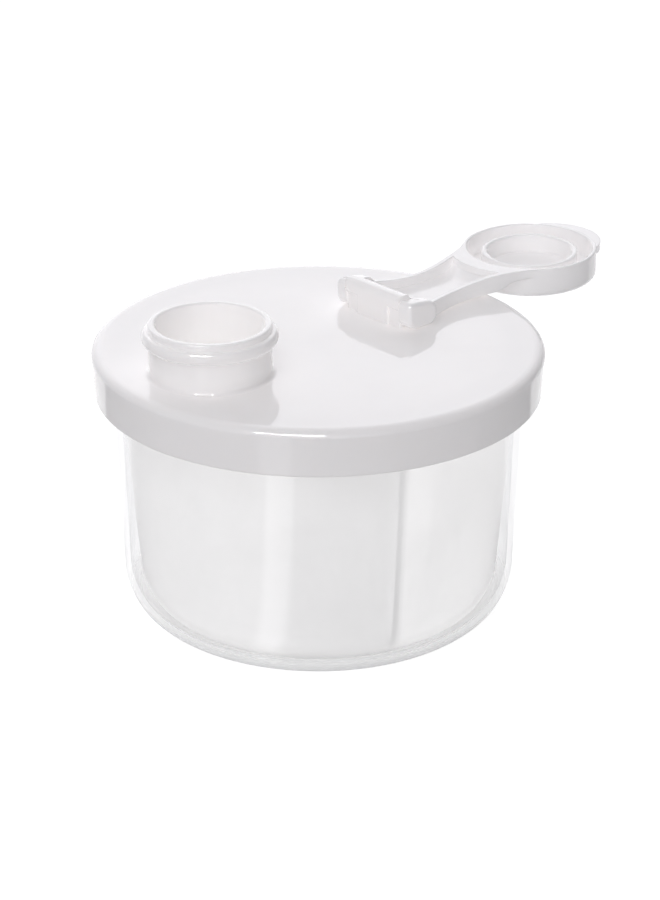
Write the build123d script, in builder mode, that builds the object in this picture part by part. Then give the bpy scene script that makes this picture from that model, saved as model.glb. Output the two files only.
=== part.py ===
from build123d import *
import os
from math import sin, cos, tan, radians

# Three-portion formula powder dispenser: cup, compartment insert, seal ring, lid, flip cap.
# Frame: millimetres, +Z up, origin at the centre of the cup's base.
# +Y runs from the lid's centre line towards the flip cap's hinge. The cap stands open
# at rest, so the spout is on the -Y side and the open cap lies on the +Y side.

os.makedirs("parts", exist_ok=True)

# ------------------------------------------------------------ driving dimensions
# cup
cup_base_r = 39.0            # flat the cup stands on
cup_corner_r = 48.55         # outer radius where the rounded bottom ends
cup_corner_z = 12.0
cup_rim_r = 50.0             # outer radius at the rim
cup_rim_z = 64.0
cup_rim_chamfer = 0.3
cup_wall = 1.4
cup_floor = 1.5
cup_inner_shift = 1.0        # inner corner starts this much further in and ends higher
snap_ring_r = 52.3           # ring the lid snaps over
snap_ring_z0 = 59.6
snap_ring_z1 = 62.0
snap_ring_root_r = cup_rim_r - 0.12
snap_ring_slope_h = 2.0      # height of the slope under the ring
snap_ring_bevel_h = 1.2      # height of the slope on top of the ring

# portions, and the lugs that stop the insert turning in the cup
portion_count = 3
wing_angle = -17.0           # direction of the first dividing wall and the first lug
key_width = 8.0
key_depth = 1.5
key_r = 48.9                 # radius of the lugs' centres
key_thick = 1.8
key_side_gap = 0.2
key_raise = 0.15             # lugs sit this much above the notches' floor
notch_r = cup_rim_r - 0.6    # radius of the notches' centres
notch_length = 4.4           # radial

# compartment insert
insert_wall = 1.2
insert_floor_z = 1.75
tray_base_r = 36.4           # flat of the tray's floor
tray_corner_r = 44.6         # outer radius where the tray's rounded bottom ends
tray_corner_z = 13.0
tray_mid_r = 46.55           # at mid height, so the wall bows slightly
tray_mid_z = 38.0
tray_top_r = 48.1
tray_mouth_r = 46.7          # inner radius at the top
insert_flange_r = 50.0
insert_flange_z0 = cup_rim_z + 0.05
insert_flange_z1 = 65.2
wing_thick = 1.4
wing_length = 49.0           # before trimming to the tray
wing_top_z = 66.4
wing_reach = 45.0            # reach of the walls above the flange
wing_shoulder_r = 47.4       # reach of the walls just below that step
wing_shoulder_z = 64.6
post_r = 3.2                 # round post where the three walls meet

# seal ring
seal_r0 = 46.7
seal_r1 = 49.3
seal_z0 = 65.28
seal_z1 = 66.68

# lid
lid_r = 55.0                 # widest, just under the rounded top edge
lid_skirt_r = 54.5           # at the bottom of the skirt
lid_top_z = 68.6
lid_wide_z = 66.95
lid_edge_w = 2.7             # radial width of the rounded top edge
lid_skirt_z = 57.15
lid_under_z = lid_top_z - 1.9
lid_inner_r = 53.1           # inside of the skirt, at its top
lid_inner_round = 1.0
lid_snap_r = 51.9            # bead under the cup's snap ring
lid_rib_z = 65.7             # lower end of the two ribs beside the seal ring

# spout
spout_x, spout_y = -2.5, -31.8
spout_top_z = lid_top_z + 12.5
spout_bore_r = 13.0
spout_mouth_round = 0.5
spout_mouth_bevel = 0.35     # at the bore's lower end
spout_neck_r = 14.65
spout_root_round = 1.1
spout_lip_r = 14.7
spout_lip_round = 0.6
spout_bead_r = 16.2

# hinge
hinge_y = 22.0
hinge_h = 5.8                # axis height above the lid's top
hinge_z = lid_top_z + hinge_h
hinge_sink = 0.6             # depth of the post's foot inside the lid's plate
open_angle = 179.0           # from closed to the rest pose
pin_r = 1.20
pin_bore_r = 1.25
bar_end = 9.45               # half length of the post and of the bar on top of it
bar_half_w = 2.0
bar_bottom = -1.25           # from the hinge axis
bar_top = 2.35
post_mid = 5.6               # half width of the post's proud middle
post_face = -1.4             # post's -Y face beside the proud middle
pin_end = 12.2
pin_bevel = 0.4

# flip cap; heights are measured from the hinge axis
cap_reach = 53.8             # axis to the centre of the cap disc
ear_in = 9.6
ear_out = 13.3
ear_bore_end = 12.5
ear_round = 1.1
cap_r = 17.4
cap_in_r = 16.35
cap_rim_z = -1.1             # rim plane of the open cap
cap_top_z = -8.85            # outside of the cap's plate
cap_plate_z = cap_top_z + 2.05
plug_r = 12.85
plug_tip_r = 12.45
plug_in_r = 11.0
plug_tip_z = cap_rim_z - 1.0
arm_start = 2.65             # end of the arm next to the hinge axis
arm_end = 46.0               # end of the arm's outline, inside the disc
arm_under = -5.6
arm_floor = -4.3
pocket_start = 3.7
rail = 1.35
web_r = 21.2                 # end wall of the arm's channel, from the disc centre
under_cut_r = 16.0           # inner radius of the cut under the arm
under_cut_z = -9.0
tab_r = 12.9
tab_shift = 8.1
tab_thick = 1.8
tab_drop = 0.4               # below the rim plane
tab_gap = 14.0               # width of the band the tab is kept out of

# ------------------------------------------------------------------ work planes
spout_side = Plane(origin=(spout_x, spout_y, 0), x_dir=(1, 0, 0), z_dir=(0, -1, 0))
spout_axis = Axis((spout_x, spout_y, 0), (0, 0, 1))

hinge_at = (spout_x, hinge_y, hinge_z)
hinge_top = Plane(origin=hinge_at, x_dir=(1, 0, 0), z_dir=(0, 0, 1))
hinge_side = Plane(origin=hinge_at, x_dir=(0, 1, 0), z_dir=(1, 0, 0))
hinge_axis = Axis(hinge_at, (1, 0, 0))

# The open cap has its own frame: origin on the hinge axis, x along the axis,
# y along the arm towards the disc, z up.
tilt = radians(180.0 - open_angle)
cap_frame = Plane(origin=hinge_at, x_dir=(1, 0, 0), z_dir=(0, -sin(tilt), cos(tilt)))
arm_side = Plane(origin=hinge_at, x_dir=cap_frame.y_dir, z_dir=cap_frame.x_dir)
disc_at = cap_frame.from_local_coords((0, cap_reach, 0))
disc_side = Plane(origin=disc_at, x_dir=cap_frame.x_dir, z_dir=cap_frame.y_dir * -1)
disc_axis = Axis(disc_at, cap_frame.z_dir)

# ----------------------------------------------------------------------- outlines
# Half width and distance from the hinge axis along each edge of the arm:
# waisted behind the ears, flaring on to the disc.
arm_edge = [(10.75, 7.6), (8.8, 14.6), (7.95, 21.0), (8.3, 28.0), (10.6, 37.0), (13.6, 43.0)]

# Top of the arm in side view: distance from the hinge axis, height.
arm_top = [(6.6, -1.1), (10.0, -1.5), (19.5, -1.98), (28.0, -1.5), (34.5, cap_rim_z)]

# Underside of the arm near the disc: radius from the disc's axis, height.
arm_underside = [
    (24.2, arm_under), (22.6, -5.35), (21.4, -4.75), (20.5, -4.1),
    (19.4, -3.65), (18.2, -3.4), (under_cut_r, -3.3),
]

# Floor of the arm's channel near the disc: radius from the disc's axis, height.
pocket_rise = [(26.0, arm_floor), (24.0, -4.1), (22.6, -3.6), (web_r, -2.95)]

# Ear in side view: distance from the hinge axis, height, corner radius.
ear_corners = [
    (-1.95, 1.45, 1.4), (3.3, 0.85, 3.0), (6.3, 0.25, 1.4),
    (7.85, -1.1, 1.4), (7.85, -4.4, 1.4), (6.2, -5.7, 1.6),
    (1.2, -5.7, 2.4), (-1.0, -5.0, 1.4), (-1.95, -3.4, 1.4),
]

# Pin with a coned root and a bevelled tip: distance along the hinge axis, radius.
pin_profile = [
    (9.0, 0), (9.0, 1.9), (bar_end, 1.9), (10.35, pin_r),
    (pin_end - pin_bevel, pin_r), (pin_end, pin_r - pin_bevel), (pin_end, 0),
]

# Blind socket, coned at the mouth like the pin's root: same columns.
socket_profile = [
    (9.3, 0), (9.3, 2.28), (9.5, 2.28), (10.75, pin_bore_r),
    (ear_bore_end, pin_bore_r), (ear_bore_end, 0),
]


# ---------------------------------------------------------------- drawing helpers
# These add lines to the BuildLine block that calls them.
def rounded_outline(corners):
    """Closed outline through (x, y, corner radius) points, with tangent arcs."""
    points = [Vector(x, y) for x, y, _ in corners]
    stretches = []           # start, middle and end of each corner
    for i, (_, _, radius) in enumerate(corners):
        corner = points[i]
        if radius == 0:
            stretches.append((corner, None, corner))
            continue
        back = (points[i - 1] - corner).normalized()
        ahead = (points[(i + 1) % len(points)] - corner).normalized()
        half_angle = radians(back.get_angle(ahead)) / 2
        setback = radius / tan(half_angle)
        depth = radius / sin(half_angle) - radius
        middle = corner + (back + ahead).normalized() * depth
        stretches.append((corner + back * setback, middle, corner + ahead * setback))
    for i, (start, middle, end) in enumerate(stretches):
        if middle is not None:
            ThreePointArc(start, middle, end)
        Line(end, stretches[(i + 1) % len(stretches)][0])


def rounded_bottom(flat_r, corner_r, floor_z, corner_z):
    """Flat floor from the axis, then a quarter ellipse up to the wall."""
    Line((0, floor_z), (flat_r, floor_z))
    EllipticalCenterArc((flat_r, corner_z), corner_r - flat_r, corner_z - floor_z,
                        start_angle=270, arc_size=90)


def tray_outline(rise, corner_inset, mid_inset, top_points):
    """Tray's half section, moved inwards, closed over the given top points."""
    floor_z = insert_floor_z + rise
    corner_r = tray_corner_r - corner_inset
    rounded_bottom(tray_base_r, corner_r, floor_z, tray_corner_z)
    ThreePointArc((corner_r, tray_corner_z), (tray_mid_r - mid_inset, tray_mid_z), top_points[0])
    Polyline(*top_points, (0, floor_z))


def lid_outline():
    """Half section of the lid's plate, skirt and underside ribs."""
    Line((0, lid_top_z), (lid_r - lid_edge_w, lid_top_z))
    EllipticalCenterArc((lid_r - lid_edge_w, lid_wide_z), lid_edge_w, lid_top_z - lid_wide_z,
                        start_angle=0, arc_size=90)
    skirt_round_start = (lid_skirt_r + 0.02, lid_skirt_z + 0.5)
    skirt_round_end = (lid_skirt_r - 0.5, lid_skirt_z)
    Line((lid_r, lid_wide_z), skirt_round_start)
    ThreePointArc(skirt_round_start, (lid_skirt_r - 0.13, lid_skirt_z + 0.14), skirt_round_end)
    Polyline(
        skirt_round_end,
        (52.5, lid_skirt_z),
        (lid_snap_r, lid_skirt_z + 0.7), (lid_snap_r, lid_skirt_z + 1.3),
        (52.8, lid_skirt_z + 2.2),
        (lid_inner_r, lid_under_z - lid_inner_round),
    )
    ceiling_r = lid_inner_r - lid_inner_round
    CenterArc((ceiling_r, lid_under_z - lid_inner_round), lid_inner_round, 0, 90)
    # two ribs that hold the seal ring between them
    Polyline(
        (ceiling_r, lid_under_z),
        (50.7, lid_under_z), (50.6, lid_rib_z), (49.6, lid_rib_z), (49.5, lid_under_z),
        (46.5, lid_under_z), (46.4, lid_rib_z), (45.6, lid_rib_z), (45.4, lid_under_z),
        (0, lid_under_z), (0, lid_top_z),
    )


def spout_outline():
    """Half section of the solid spout, with a rounded lip and a snap bead under it."""
    foot_r = spout_neck_r + spout_root_round
    foot_z = lid_under_z + 0.5
    neck_start_z = lid_top_z + spout_root_round
    neck_end = (spout_neck_r, spout_top_z - 5.3)
    bead_start = (spout_neck_r + 0.45, spout_top_z - 4.8)
    bead_end = (15.5, spout_top_z - 1.75)
    lip_in_r = spout_lip_r - spout_lip_round
    lip_z = spout_top_z - spout_lip_round
    Polyline((0, foot_z), (foot_r, foot_z), (foot_r, lid_top_z))
    CenterArc((foot_r, neck_start_z), spout_root_round, 180, 90)
    Line((spout_neck_r, neck_start_z), neck_end)
    ThreePointArc(neck_end, (spout_neck_r + 0.12, spout_top_z - 5.0), bead_start)
    ThreePointArc(bead_start, (spout_bead_r, spout_top_z - 3.2), bead_end)
    Polyline(bead_end, (spout_lip_r, spout_top_z - 1.6), (spout_lip_r, lip_z))
    CenterArc((lip_in_r, lip_z), spout_lip_round, 0, 90)
    Polyline((lip_in_r, spout_top_z), (0, spout_top_z), (0, foot_z))


def spout_bore_outline():
    """Half section of the bore, opened out at both ends."""
    bottom_z = lid_under_z - 1.0
    above_z = spout_top_z + 1.0
    bottom_r = spout_bore_r + spout_mouth_bevel
    mouth_r = spout_bore_r + spout_mouth_round
    mouth_z = spout_top_z - spout_mouth_round
    Polyline(
        (0, bottom_z), (bottom_r, bottom_z), (bottom_r, lid_under_z),
        (spout_bore_r, lid_under_z + spout_mouth_bevel), (spout_bore_r, mouth_z),
    )
    CenterArc((mouth_r, mouth_z), spout_mouth_round, 90, 90)
    Polyline((mouth_r, spout_top_z), (mouth_r, above_z), (0, above_z), (0, bottom_z))


def at_both_ends(profile):
    """Closed (distance, radius) profile at both ends of the hinge axis."""
    for side in (-1, 1):
        Polyline(*[(side * x, radius) for x, radius in profile], close=True)


def arm_outline(inset, start_y, end_y):
    """Plan of the arm, moved inwards by the inset."""
    start_w = arm_edge[0][0] - inset
    end_w = arm_edge[-1][0] - inset
    Line((-start_w, start_y), (start_w, start_y))
    for side in (1, -1):
        edge = [(side * (half_width - inset), y) for half_width, y in arm_edge]
        Line((side * start_w, start_y), edge[0])
        Spline(edge, tangents=[(side * -0.25, 1), (side * 0.62, 0.79)])
        Line(edge[-1], (side * end_w, end_y))
    Line((end_w, end_y), (-end_w, end_y))


# ---------------------------------------------------------------------------- cup
def make_cup():
    inner_rim_r = cup_rim_r - cup_wall
    inner_corner_r = cup_corner_r - cup_wall
    inner_corner_z = cup_corner_z + cup_inner_shift
    with BuildPart() as cup:
        with BuildSketch(Plane.XZ):
            with BuildLine():
                rounded_bottom(cup_base_r, cup_corner_r, 0, cup_corner_z)
                Polyline(
                    (cup_corner_r, cup_corner_z),
                    (snap_ring_root_r, snap_ring_z0 - snap_ring_slope_h),
                    (snap_ring_r, snap_ring_z0),
                    (snap_ring_r, snap_ring_z1 - snap_ring_bevel_h),
                    (cup_rim_r, snap_ring_z1),
                    (cup_rim_r, cup_rim_z - cup_rim_chamfer),
                    (cup_rim_r - cup_rim_chamfer, cup_rim_z),
                    (inner_rim_r, cup_rim_z),
                    (inner_corner_r, inner_corner_z),
                )
                rounded_bottom(cup_base_r - cup_inner_shift, inner_corner_r,
                               cup_floor, inner_corner_z)
                Line((0, cup_floor), (0, 0))
            make_face()
        revolve(axis=Axis.Z)
        # notches in the rim for the insert's lugs
        with BuildSketch(Plane.XY.offset(cup_rim_z - key_depth)):
            with PolarLocations(notch_r, portion_count, start_angle=wing_angle):
                Rectangle(notch_length, key_width)
        extrude(amount=key_depth + 1.0, mode=Mode.SUBTRACT)
    return cup.part


# -------------------------------------------------------------- compartment insert
def make_insert_walls():
    """The three walls and their post, ended inside the thickness of the tray's wall."""
    half_wall = insert_wall / 2
    above_z = 70.0
    with BuildPart() as walls:
        with BuildSketch(Plane.XY.offset(insert_floor_z + half_wall)):
            with PolarLocations(0, portion_count, start_angle=wing_angle):
                with Locations((wing_length / 2, 0)):
                    Rectangle(wing_length, wing_thick)
            Circle(post_r)
        extrude(amount=wing_top_z - insert_floor_z - half_wall)
        with BuildSketch(Plane.XZ):
            with BuildLine():
                tray_outline(half_wall, 0.55, 0.57, [
                    (wing_shoulder_r, wing_shoulder_z), (wing_reach, wing_shoulder_z),
                    (wing_reach, above_z), (0, above_z),
                ])
            make_face()
        revolve(axis=Axis.Z, mode=Mode.INTERSECT)
    return walls.part


def make_compartment_insert():
    walls = make_insert_walls()
    above_z = insert_flange_z1 + 2.0
    with BuildPart() as insert:
        # tray with a flange that rests on the cup's rim
        with BuildSketch(Plane.XZ):
            with BuildLine():
                tray_outline(0, 0, 0, [
                    (tray_top_r, insert_flange_z0), (insert_flange_r, insert_flange_z0),
                    (insert_flange_r, insert_flange_z1), (0, insert_flange_z1),
                ])
            make_face()
        revolve(axis=Axis.Z)
        # hollow
        with BuildSketch(Plane.XZ):
            with BuildLine():
                tray_outline(insert_wall, 1.1, 1.15, [
                    (tray_mouth_r, insert_flange_z0), (tray_mouth_r, above_z), (0, above_z),
                ])
            make_face()
        revolve(axis=Axis.Z, mode=Mode.SUBTRACT)
        add(walls)
        # lugs under the flange, in the cup rim's notches
        with BuildSketch(Plane.XY.offset(cup_rim_z - key_depth + key_raise)):
            with PolarLocations(key_r, portion_count, start_angle=wing_angle):
                Rectangle(key_thick, key_width - 2 * key_side_gap)
        extrude(amount=key_depth)
    return insert.part


# ---------------------------------------------------------------------- seal ring
def make_lid_seal():
    with BuildPart() as seal:
        with BuildSketch(Plane.XZ):
            with BuildLine():
                # radius, height, corner radius; a shallow groove runs round the underside
                rounded_outline([
                    (seal_r0, seal_z0, 0.25), (47.4, seal_z0, 0.2), (48.0, seal_z0 + 0.35, 0.2),
                    (48.6, seal_z0, 0.2), (seal_r1, seal_z0, 0.25), (seal_r1, seal_z1, 0.25),
                    (seal_r0, seal_z1, 0.25),
                ])
            make_face()
        revolve(axis=Axis.Z)
    return seal.part


# ---------------------------------------------------------------------------- lid
def make_lid():
    with BuildPart() as lid:
        with BuildSketch(Plane.XZ):
            with BuildLine():
                lid_outline()
            make_face()
        revolve(axis=Axis.Z)
        with BuildSketch(spout_side):
            with BuildLine():
                spout_outline()
            make_face()
        revolve(axis=spout_axis)
        with BuildSketch(spout_side):
            with BuildLine():
                spout_bore_outline()
            make_face()
        revolve(axis=spout_axis, mode=Mode.SUBTRACT)
        # hinge post, whose middle stands slightly proud on the -Y side
        with BuildSketch(hinge_top.offset(-hinge_h - hinge_sink)):
            with BuildLine():
                rounded_outline([
                    (-post_mid, -bar_half_w, 0.4), (post_mid, -bar_half_w, 0.4),
                    (post_mid, post_face, 0.15), (bar_end, post_face, 0.4),
                    (bar_end, bar_half_w, 0.6), (-bar_end, bar_half_w, 0.6),
                    (-bar_end, post_face, 0.4), (-post_mid, post_face, 0.15),
                ])
            make_face()
        extrude(amount=hinge_h + hinge_sink)
        # rounded bar along the post's top
        with BuildSketch(hinge_side.offset(-bar_end)):
            with BuildLine():
                rounded_outline([
                    (-bar_half_w, bar_bottom, 0.5), (bar_half_w, bar_bottom, 0.5),
                    (bar_half_w, bar_top, 1.5), (-bar_half_w, bar_top, 1.5),
                ])
            make_face()
        extrude(amount=2 * bar_end)
        # pivot pins on the bar's ends
        with BuildSketch(hinge_top):
            with BuildLine():
                at_both_ends(pin_profile)
            make_face()
        revolve(axis=hinge_axis)
    return lid.part


# ----------------------------------------------------------------------- flip cap
def make_under_cut():
    """Ring cut away under the arm, where its underside rises to the disc."""
    outer_r = arm_underside[0][0]
    with BuildPart() as under_cut:
        with BuildSketch(disc_side):
            with BuildLine():
                Spline(arm_underside, tangents=[(-1, 0), (-1, 0)])
                Polyline(arm_underside[-1], (under_cut_r, under_cut_z),
                         (outer_r, under_cut_z), arm_underside[0])
            make_face()
        revolve(axis=disc_axis)
    return under_cut.part


def make_arm_pocket():
    """The arm's channel, whose floor rises to the end wall next to the disc."""
    outer_r = pocket_rise[0][0]
    with BuildPart() as pocket:
        with BuildSketch(cap_frame.offset(arm_floor)):
            with BuildLine():
                arm_outline(rail, pocket_start, arm_end)
            make_face()
        extrude(amount=12.0)
        with BuildSketch(disc_side):
            with BuildLine():
                Spline(pocket_rise, tangents=[(-1, 0), (-1, 0.35)])
                Polyline(pocket_rise[-1], (web_r, 9.0), (0, 9.0), (0, -6.0),
                         (outer_r, -6.0), pocket_rise[0])
            make_face()
        revolve(axis=disc_axis, mode=Mode.SUBTRACT)
    return pocket.part


def make_flip_cap():
    under_cut = make_under_cut()
    pocket = make_arm_pocket()
    with BuildPart() as flip_cap:
        # arm: plan shape limited by its side view
        with BuildSketch(cap_frame.offset(arm_under)):
            with BuildLine():
                arm_outline(0, arm_start, arm_end)
            make_face()
        extrude(amount=8.0)
        with BuildSketch(arm_side.offset(-20)):
            with BuildLine():
                Polyline((arm_start, arm_under), (arm_start, 0.95), (3.7, 0.85), arm_top[0])
                Spline(arm_top, tangents=[(1, -0.12), (1, 0)])
                Polyline(arm_top[-1], (50, cap_rim_z), (50, arm_under), (arm_start, arm_under))
            make_face()
        extrude(amount=40, mode=Mode.INTERSECT)
        add(under_cut, mode=Mode.SUBTRACT)
        add(pocket, mode=Mode.SUBTRACT)
        # clear the arm from inside the disc
        with BuildSketch(cap_frame.offset(-9)):
            with Locations((0, cap_reach)):
                Circle(cap_r - 0.6)
        extrude(amount=12, mode=Mode.SUBTRACT)
        # ears
        for ear_start in (-ear_out, ear_in):
            with BuildSketch(arm_side.offset(ear_start)):
                with BuildLine():
                    rounded_outline(ear_corners)
                make_face()
            extrude(amount=ear_out - ear_in)
        # rounded outer edges of the ears
        outer_edges = flip_cap.edges().filter_by(
            lambda edge: abs(abs(edge.center().X - spout_x) - ear_out) < 1e-3)
        fillet(outer_edges, radius=ear_round)
        # blind pivot sockets
        with BuildSketch(cap_frame):
            with BuildLine():
                at_both_ends(socket_profile)
            make_face()
        revolve(axis=hinge_axis, mode=Mode.SUBTRACT)
        # disc with its rim and the plug that seals the spout
        with BuildSketch(disc_side):
            with BuildLine():
                rounded_outline([
                    (0, cap_top_z, 0), (cap_r, cap_top_z, 1.8), (cap_r, cap_rim_z, 0.4),
                    (cap_in_r, cap_rim_z, 0.4), (cap_in_r, cap_plate_z, 0.5),
                    (plug_r, cap_plate_z, 0.5), (plug_tip_r, plug_tip_z, 0.6),
                    (plug_in_r, plug_tip_z, 0.6), (plug_in_r, cap_plate_z, 0.6),
                    (0, cap_plate_z, 0),
                ])
            make_face()
        revolve(axis=disc_axis)
        # finger tab on the far side, just under the rim plane
        with BuildSketch(cap_frame.offset(cap_rim_z - tab_drop - tab_thick)):
            with Locations((0, cap_reach + tab_shift)):
                Circle(tab_r)
            with Locations((0, cap_reach)):
                Circle(cap_r - 0.5, mode=Mode.SUBTRACT)
            with Locations((0, cap_reach)):
                Rectangle(60, tab_gap, mode=Mode.SUBTRACT)
        extrude(amount=tab_thick)
    return flip_cap.part


# -------------------------------------------------------------------------- output
makers = {
    "cup": make_cup,
    "compartment_insert": make_compartment_insert,
    "lid_seal": make_lid_seal,
    "lid": make_lid,
    "flip_cap": make_flip_cap,
}
for name, make in makers.items():
    part = make()
    part.label = name
    export_step(part, f"parts/{name}.step")
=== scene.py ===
# A clear cup holding a frosted compartment insert, under a glossy white lid with a flip cap
# and a silicone seal. Metres, +Z up: the cup's axis is the Z axis and its foot is near z = 0.
# The camera looks down from the +X -Y side, in a white light tent.
import math

import bpy
from mathutils import Matrix, Vector


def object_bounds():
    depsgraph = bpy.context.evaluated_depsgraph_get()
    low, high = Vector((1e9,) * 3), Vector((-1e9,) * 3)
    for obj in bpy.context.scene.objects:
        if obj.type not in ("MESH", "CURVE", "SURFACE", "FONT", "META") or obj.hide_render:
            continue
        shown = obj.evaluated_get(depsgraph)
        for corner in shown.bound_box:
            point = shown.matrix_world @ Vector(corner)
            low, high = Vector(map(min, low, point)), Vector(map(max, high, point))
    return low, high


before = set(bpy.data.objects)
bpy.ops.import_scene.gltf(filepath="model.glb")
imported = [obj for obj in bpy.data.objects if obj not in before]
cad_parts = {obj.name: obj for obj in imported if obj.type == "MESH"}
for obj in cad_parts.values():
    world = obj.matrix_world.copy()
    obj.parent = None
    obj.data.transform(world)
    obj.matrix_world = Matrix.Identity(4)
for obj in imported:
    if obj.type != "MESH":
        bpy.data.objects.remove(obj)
cad_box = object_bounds()

# ------------------------------------------------------------------ sizes and directions
# pairs of heights or radii over which an effect changes
LID_TOP_HEIGHTS = (0.0695, 0.0720)
CUP_FOOT_HEIGHTS = (0.0080, 0.0015)      # downwards, from clear wall to milky foot
CUP_FOOT_RADII = (0.033, 0.040)
INSERT_RIM_HEIGHTS = (0.0600, 0.0640)
INSERT_SHELL_RADII = (0.0405, 0.0425)    # from the dividing walls to the outer face

# the insert's three dividing walls run out from the axis
DIVIDER_COUNT = 3
FIRST_DIVIDER = -17.0                    # degrees from +X towards +Y
# each wall's strip carries painted shade
DIVIDER_EDGE = (0.0009, 0.0014)          # soft edge of a wall's strip, from its mid-plane
# the side of the insert that gets painted light
INSERT_LEFT = (-0.7912, -0.6115, 0.0)    # roughly the camera's left

FLOOR_SIZE = 12.0
FLOOR_GAP = 0.0002                       # below the lowest point of the product

# level directions, as the camera sees the scene
BACK = Vector((-0.7431, 0.6691, 0.0))
RIGHT = Vector((0.6691, 0.7431, 0.0))
KEY_SIDE = Vector((0.50, -0.866, 0.0))   # from the product towards the softbox
KEY_ACROSS = Vector((-KEY_SIDE.y, KEY_SIDE.x, 0.0))

LIGHT_TARGET = Vector((0.0, 0.015, 0.05))
KEY_REACH = 0.62
KEY_RISE = 0.75
SOFTBOX_SIZE = (0.48, 0.15)
TUBE_SIZE = (0.46, 0.08)

CAMERA_PLACE = Vector((0.4499, -0.4013, 0.3099))
CAMERA_AIM = Vector((-0.6781, 0.6106, -0.4090))

WHITE = (1, 1, 1, 1)


# ------------------------------------------------------------------ node helpers
class Nodes:
    """Builds one shader node tree; a socket's value may be a plain value or an output socket."""

    def __init__(self, tree, output_kind):
        self.tree = tree
        tree.nodes.clear()
        self.output = self.node(output_kind)

    def node(self, kind, sockets=None, **settings):
        made = self.tree.nodes.new("ShaderNode" + kind)
        # settings come first, since they decide which sockets exist
        for setting, value in settings.items():
            setattr(made, setting, value)
        for socket, value in (sockets or {}).items():
            if isinstance(value, bpy.types.NodeSocket):
                self.tree.links.new(value, made.inputs[socket])
            else:
                made.inputs[socket].default_value = value
        return made

    def surface(self, shader):
        self.tree.links.new(shader, self.output.inputs["Surface"])

    # ---- coordinates
    def texture_coords(self):
        coords = self.node("TexCoord").outputs["Object"]
        return self.node("Mapping", {"Vector": coords}).outputs["Vector"]

    def position(self):
        """Outputs X, Y and Z of the shaded point."""
        coords = self.node("TexCoord").outputs["Object"]
        return self.node("SeparateXYZ", {"Vector": coords}).outputs

    def flatten(self, position):
        """The point's place in plan, with z = 0."""
        plan = {"X": position["X"], "Y": position["Y"]}
        return self.node("CombineXYZ", plan).outputs["Vector"]

    # ---- arithmetic
    def calc(self, operation, *values):
        return self.node("Math", dict(enumerate(values)), operation=operation).outputs["Value"]

    def dot(self, vector, direction):
        sockets = {0: vector, 1: direction}
        return self.node("VectorMath", sockets, operation="DOT_PRODUCT").outputs["Value"]

    def length(self, vector):
        return self.node("VectorMath", {0: vector}, operation="LENGTH").outputs["Value"]

    def remap(self, value, source=(0.0, 1.0), target=(0.0, 1.0), smooth=False):
        """Maps the source range onto the target range, clamped at both ends."""
        return self.node("MapRange", {
            "Value": value,
            "From Min": source[0],
            "From Max": source[1],
            "To Min": target[0],
            "To Max": target[1],
        }, interpolation_type="SMOOTHSTEP" if smooth else "LINEAR").outputs["Result"]

    # ---- textures
    def noise(self, coords, scale, detail, roughness):
        sockets = {"Vector": coords, "Scale": scale, "Detail": detail, "Roughness": roughness}
        return self.node("TexNoise", sockets).outputs["Fac"]

    def spread(self, noise, low, high):
        """Stretches the middle of a noise over low..high."""
        return self.remap(noise, source=(0.3, 0.7), target=(low, high))

    def mix_colour(self, factor, low, high):
        sockets = {"A": (*low, 1), "B": (*high, 1), "Factor": factor}
        return self.node("Mix", sockets, data_type="RGBA").outputs["Result"]

    def bump(self, height, strength, distance, normal=None):
        sockets = {"Strength": strength, "Distance": distance, "Height": height}
        if normal is not None:
            sockets["Normal"] = normal
        return self.node("Bump", sockets).outputs["Normal"]

    # ---- shaders
    def shader(self, kind, sockets=None):
        return self.node(kind, sockets).outputs[0]

    def mix_shader(self, factor, first, second):
        return self.shader("MixShader", {"Fac": factor, 1: first, 2: second})

    def add_shader(self, first, second):
        return self.shader("AddShader", {0: first, 1: second})


def new_material(name):
    material = bpy.data.materials.new(name)
    material.use_nodes = True
    return material, Nodes(material.node_tree, "OutputMaterial")


# ------------------------------------------------------------------ product materials
def moulded_white(name, light, dark, roughness, bevel, painted_glow, painted_top_glow):
    """Glossy white moulded plastic: faint mottling, a fine ripple, slightly milky edges and a
    painted glow.
    """
    material, n = new_material(name)
    coords = n.texture_coords()
    mottle = n.noise(coords, scale=38.0, detail=4.0, roughness=0.6)
    fine = n.noise(coords, scale=900.0, detail=2.0, roughness=0.5)
    ripple = n.noise(coords, scale=150.0, detail=2.0, roughness=0.5)

    rounded = n.node("Bevel", {"Radius": bevel}, samples=6).outputs["Normal"]
    rippled = n.bump(ripple, strength=0.10, distance=0.00005, normal=rounded)

    # painted light: the plastic glows faintly with a mottle, and glows more towards the top
    painted_top_light = n.remap(n.position()["Z"], source=LID_TOP_HEIGHTS, target=(0.0, painted_top_glow))
    painted_glow_strength = n.calc("ADD", n.spread(mottle, low=painted_glow - 0.004, high=painted_glow + 0.004), painted_top_light)

    n.surface(n.shader("BsdfPrincipled", {
        "Base Color": n.mix_colour(n.spread(mottle, low=0, high=1), low=dark, high=light),
        "Roughness": n.spread(ripple, low=roughness - 0.025, high=roughness + 0.035),
        "IOR": 1.5,
        "Subsurface Weight": 0.4,
        "Subsurface Radius": (1.0, 0.95, 0.92),
        "Subsurface Scale": 0.003,
        "Normal": n.bump(fine, strength=0.06, distance=0.00001, normal=rippled),
        # colour and strength of the painted glow
        "Emission Color": (1.0, 0.985, 0.99, 1),
        "Emission Strength": painted_glow_strength,
    }))
    return material


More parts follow.
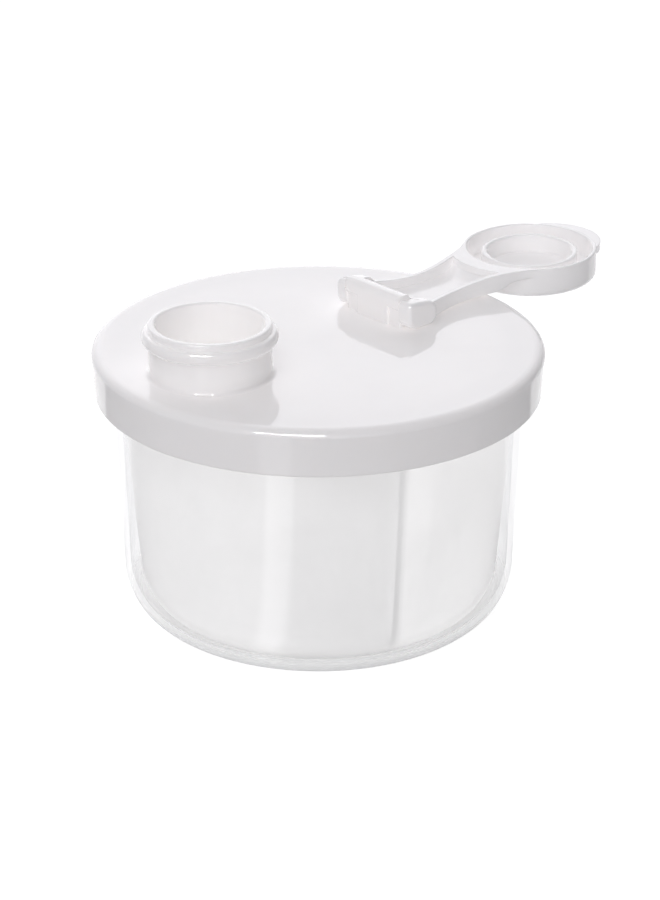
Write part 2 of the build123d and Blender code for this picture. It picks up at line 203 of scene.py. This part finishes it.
def clear_wall(n):
    """A see-through wall, greyer edge-on, with a gloss that only the camera sees."""
    coords = n.texture_coords()
    ripple = n.noise(coords, scale=60.0, detail=3.0, roughness=0.5)
    fine = n.noise(coords, scale=700.0, detail=2.0, roughness=0.5)
    normal = n.bump(ripple, strength=0.12, distance=0.00008)
    gloss = n.shader("BsdfGlossy", {
        "Color": (0.95, 0.95, 0.955, 1),
        "Roughness": n.spread(fine, low=0.03, high=0.06),
        "Normal": normal,
    })
    facing = n.node("LayerWeight", {"Blend": 0.18}).outputs["Facing"]
    tint = n.mix_colour(facing, low=(0.995, 0.995, 0.995), high=(0.90, 0.90, 0.902))
    through = n.shader("BsdfTransparent", {"Color": tint})

    # gloss grows towards the edges, the same from both sides of the wall
    grazing = n.node("LayerWeight", {"Blend": 0.5, "Normal": normal}).outputs["Facing"]
    falloff = 5.0
    reflectance = n.remap(n.calc("POWER", grazing, falloff), target=(0.035, 0.18))
    camera_ray = n.node("LightPath").outputs["Is Camera Ray"]
    return n.mix_shader(n.calc("MULTIPLY", reflectance, camera_ray), through, gloss)


def clear_plastic(name):
    """Clear moulded cup with a slightly milky foot that also carries a painted glow."""
    material, n = new_material(name)
    wall = clear_wall(n)
    # the milky foot: a pale diffuse colour plus a painted glow
    milk_and_painted_glow = n.add_shader(
        n.shader("BsdfDiffuse", {"Color": (0.90, 0.90, 0.90, 1)}),
        n.shader("Emission", {"Color": WHITE, "Strength": 0.17}),
    )
    # milky with its painted glow at the foot, mostly in its outer ring
    position = n.position()
    foot = n.remap(position["Z"], source=CUP_FOOT_HEIGHTS, target=(0.0, 0.78), smooth=True)
    radius = n.length(n.flatten(position))
    outer = n.remap(radius, source=CUP_FOOT_RADII, target=(0.12, 1.0), smooth=True)
    n.surface(n.mix_shader(n.calc("MULTIPLY", foot, outer), wall, milk_and_painted_glow))
    return material


def level_direction(degrees):
    angle = math.radians(degrees)
    return (math.cos(angle), math.sin(angle), 0.0)


def level_normal(degrees):
    """Square to level_direction, a quarter turn anticlockwise from above."""
    angle = math.radians(degrees)
    return (-math.sin(angle), math.cos(angle), 0.0)


def divider_strips(n, plan):
    """1 on the strips where a dividing wall lies, 0 elsewhere; these strips carry the walls'
    painted shade.
    """
    strips = None
    for i in range(DIVIDER_COUNT):
        degrees = FIRST_DIVIDER + i * 360.0 / DIVIDER_COUNT
        offset = n.calc("ABSOLUTE", n.dot(plan, level_normal(degrees)))
        near = n.remap(offset, source=DIVIDER_EDGE, target=(1.0, 0.0), smooth=True)
        outward = n.calc("GREATER_THAN", n.dot(plan, level_direction(degrees)), 0.0)
        strip = n.calc("MULTIPLY", near, outward)
        strips = strip if strips is None else n.calc("MAXIMUM", strips, strip)
    return strips


def insert_painted_glow(n, cloud, plan, below_rim):
    """Strength of the painted glow on the milky plastic, with painted light and painted shade in
    places.
    """
    # painted light: a mottled base glow, and more glow where the surface is seen edge-on
    facing = n.node("LayerWeight", {"Blend": 0.35}).outputs["Facing"]
    painted_edge_light = n.remap(facing, source=(0.15, 0.85), target=(0.0, 0.13))
    strength = n.calc("ADD", n.spread(cloud, low=0.138, high=0.152), painted_edge_light)

    # painted light: more glow on the left
    left = n.dot(plan, INSERT_LEFT)
    painted_left_light = n.remap(left, source=(-0.003, 0.004), target=(0.0, 0.03), smooth=True)
    strength = n.calc("ADD", strength, painted_left_light)

    # painted light: more glow on the +Y side of the first dividing wall
    side = n.dot(plan, level_normal(FIRST_DIVIDER))
    painted_side_light = n.remap(side, source=(-0.0008, 0.0008), target=(0.0, 0.052))
    strength = n.calc("ADD", strength, painted_side_light)

    # painted shade: the dividing walls inside glow less, so they stay greyer than the outer face
    painted_wall_shade = n.remap(n.length(plan), source=INSERT_SHELL_RADII, target=(0.30, 1.0))
    strength = n.calc("MULTIPLY", strength, painted_wall_shade)

    # painted shade: each dividing wall shows on the outer wall as a soft grey strip
    painted_strip_shade = n.remap(divider_strips(n, plan), target=(1.0, 0.88))
    strength = n.calc("MULTIPLY", strength, painted_strip_shade)
    return n.calc("MULTIPLY", strength, below_rim)


def frosted(name):
    """Milky satin plastic: light scatters back and through, some passes straight, and a painted
    glow is added.
    """
    material, n = new_material(name)
    coords = n.texture_coords()
    cloud = n.noise(coords, scale=45.0, detail=4.0, roughness=0.6)
    grain = n.noise(coords, scale=1400.0, detail=2.0, roughness=0.6)
    normal = n.bump(grain, strength=0.25, distance=0.00003)
    position = n.position()

    # the rim under the lid gets no painted glow, and its colour is darker there as painted shade
    below_rim = n.remap(position["Z"], source=INSERT_RIM_HEIGHTS, target=(1.0, 0.0))
    colour = n.node("VectorMath", {
        0: n.mix_colour(
            n.spread(cloud, low=0, high=1),
            low=(0.975, 0.975, 0.972), high=(0.99, 0.99, 0.99)),
        "Scale": n.remap(below_rim, target=(0.84, 1.0)),
    }, operation="SCALE").outputs["Vector"]

    back_scatter = n.shader("BsdfDiffuse", {"Color": colour, "Normal": normal})
    through_scatter = n.shader("BsdfTranslucent", {"Color": colour})
    through_share = 0.5
    milky = n.mix_shader(through_share, back_scatter, through_scatter)
    straight = n.shader("BsdfTransparent", {"Color": (0.97, 0.97, 0.97, 1)})
    body = n.mix_shader(n.spread(cloud, low=0.24, high=0.34), milky, straight)

    satin = n.shader("BsdfGlossy", {"Roughness": 0.35, "Normal": normal})
    reflectance = n.node("Fresnel", {"IOR": 1.35}).outputs["Fac"]
    # painted glow: the insert emits light of its own
    painted_glow = n.shader("Emission", {
        "Color": (1.0, 0.99, 0.99, 1),
        "Strength": insert_painted_glow(n, cloud, n.flatten(position), below_rim),
    })
    n.surface(n.add_shader(n.mix_shader(reflectance, body, satin), painted_glow))
    return material


def silicone(name):
    """Soft off-white silicone with a fine matt grain."""
    material, n = new_material(name)
    coords = n.texture_coords()
    cloud = n.noise(coords, scale=60.0, detail=3.0, roughness=0.6)
    grain = n.noise(coords, scale=1800.0, detail=2.0, roughness=0.6)
    n.surface(n.shader("BsdfPrincipled", {
        "Base Color": n.mix_colour(
            n.spread(cloud, low=0, high=1), low=(0.78, 0.78, 0.77), high=(0.85, 0.85, 0.84)),
        "Roughness": n.spread(grain, low=0.42, high=0.55),
        "IOR": 1.41,
        "Subsurface Weight": 0.4,
        "Subsurface Radius": (1.0, 1.0, 0.95),
        "Subsurface Scale": 0.002,
        "Normal": n.bump(grain, strength=0.2, distance=0.00002),
    }))
    return material


# the two glow numbers of each white plastic set its painted light
looks = {
    "lid": moulded_white(
        "lid_gloss_white", light=(0.905, 0.886, 0.880), dark=(0.885, 0.866, 0.860),
        roughness=0.07, bevel=0.00025, painted_glow=0.10, painted_top_glow=0.035),
    "flip_cap": moulded_white(
        "cap_gloss_white", light=(0.905, 0.890, 0.888), dark=(0.885, 0.870, 0.868),
        roughness=0.13, bevel=0.00035, painted_glow=0.115, painted_top_glow=0.0),
    "cup": clear_plastic("cup_clear"),
    "compartment_insert": frosted("insert_frosted"),
    "lid_seal": silicone("seal_silicone"),
}
for piece, look in looks.items():
    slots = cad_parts[piece].data.materials
    slots.clear()
    slots.append(look)


# ------------------------------------------------------------------ floor
def floor_wedge(n, place, axis, across, narrowness, softness, gain):
    """A bright sector of the floor that opens out along the axis."""
    reach = n.dot(place, axis)
    offset = n.calc("ABSOLUTE", n.dot(place, across), 0.0)
    inside = n.calc("SUBTRACT", reach, n.calc("MULTIPLY", offset, narrowness))
    return n.remap(inside, source=(0.0, softness), target=(0.0, gain), smooth=True)


def floor_white():
    """White paper with a glow for the camera and brighter sectors for glossy reflections."""
    material, n = new_material("floor_white")
    rays = n.node("LightPath").outputs
    place = n.node("NewGeometry").outputs["Position"]
    # the paper glows, so it stays pale right up to the cup
    paper_glow = n.remap(rays["Is Camera Ray"], target=(0.02, 0.72))
    sectors = n.calc(
        "ADD",
        floor_wedge(n, place, BACK, RIGHT, narrowness=0.58, softness=0.006, gain=0.75),
        floor_wedge(n, place, KEY_SIDE, KEY_ACROSS, narrowness=7.0, softness=0.05, gain=0.9),
    )
    sectors = n.calc("MULTIPLY", sectors, rays["Is Glossy Ray"])
    n.surface(n.add_shader(
        n.shader("BsdfDiffuse", {"Color": (0.60, 0.60, 0.60, 1)}),
        n.shader("Emission", {
            "Color": WHITE,
            "Strength": n.calc("ADD", paper_glow, sectors),
        }),
    ))
    return material


def build_floor():
    lowest = cad_box[0][2]
    bpy.ops.mesh.primitive_plane_add(size=FLOOR_SIZE, location=(0, 0, lowest - FLOOR_GAP))
    floor = bpy.context.object
    floor.name = "floor"
    floor.data.materials.append(floor_white())


# ------------------------------------------------------------------ light
def build_tent():
    """A white light tent: brightest behind the product, dimmer at the sides and overhead."""
    world = bpy.data.worlds.new("tent")
    bpy.context.scene.world = world
    world.use_nodes = True
    n = Nodes(world.node_tree, "OutputWorld")
    view = n.node("TexCoord").outputs["Generated"]

    def fade(direction, source, target):
        return n.remap(n.dot(view, direction), source=source, target=target, smooth=True)

    depth = fade(BACK, source=(-0.1, 0.9), target=(1.40, 1.78))
    on_right = fade(RIGHT, source=(-0.02, 0.80), target=(1.0, 0.05))
    on_left = fade(RIGHT, source=(-0.88, -0.14), target=(0.24, 1.0))
    overhead = fade((0, 0, 1), source=(0.45, 0.92), target=(1.0, 0.38))
    sides = n.calc("MULTIPLY", on_right, on_left)
    strength = n.calc("MULTIPLY", n.calc("MULTIPLY", depth, sides), overhead)
    n.surface(n.shader("Background", {"Color": (0.99, 0.985, 1.02, 1), "Strength": strength}))


def build_softbox():
    """The key light, above the KEY_SIDE of the product."""
    light = bpy.data.lights.new("softbox_key", "AREA")
    light.shape = "RECTANGLE"
    light.size, light.size_y = SOFTBOX_SIZE
    light.energy = 1.0
    softbox = bpy.data.objects.new("softbox_key", light)
    bpy.context.scene.collection.objects.link(softbox)
    place = LIGHT_TARGET + KEY_SIDE * KEY_REACH + Vector((0, 0, KEY_RISE))
    softbox.location = place
    softbox.rotation_euler = (LIGHT_TARGET - place).to_track_quat("-Z", "Y").to_euler()
    return softbox


def build_tube(softbox):
    """The softbox's bright tube, which only glossy surfaces pick up."""
    bpy.ops.mesh.primitive_plane_add(
        size=1.0, location=softbox.location, rotation=softbox.rotation_euler)
    tube = bpy.context.object
    tube.name = "softbox_tube"
    tube.scale = (*TUBE_SIZE, 1.0)
    tube.visible_camera = False
    tube.visible_diffuse = False
    tube.visible_shadow = False
    tube.visible_transmission = False
    material, n = new_material("tube_light")
    n.surface(n.shader("Emission", {"Color": WHITE, "Strength": 60.0}))
    tube.data.materials.append(material)


# ------------------------------------------------------------------ camera and render
def build_camera():
    lens = bpy.data.cameras.new("camera")
    lens.sensor_width = 36.0
    lens.lens = 106.92
    lens.clip_start = 0.01
    lens.clip_end = 50
    camera = bpy.data.objects.new("camera", lens)
    bpy.context.scene.collection.objects.link(camera)
    forward = CAMERA_AIM.normalized()
    right = forward.cross(Vector((0, 0, 1))).normalized()
    up = right.cross(forward)
    # the camera's own X, Y and Z axes are the columns
    pose = Matrix((right, up, -forward)).transposed().to_4x4()
    pose.translation = CAMERA_PLACE
    camera.matrix_world = pose
    bpy.context.scene.camera = camera


def set_render():
    scene = bpy.context.scene
    scene.cycles.max_bounces = 14
    scene.cycles.diffuse_bounces = 7
    scene.cycles.transparent_max_bounces = 24
    scene.view_settings.view_transform = "Standard"
    scene.view_settings.look = "None"
    scene.view_settings.exposure = 0.0
    scene.view_settings.gamma = 1.0


build_floor()
build_tent()
build_tube(build_softbox())
build_camera()
set_render()
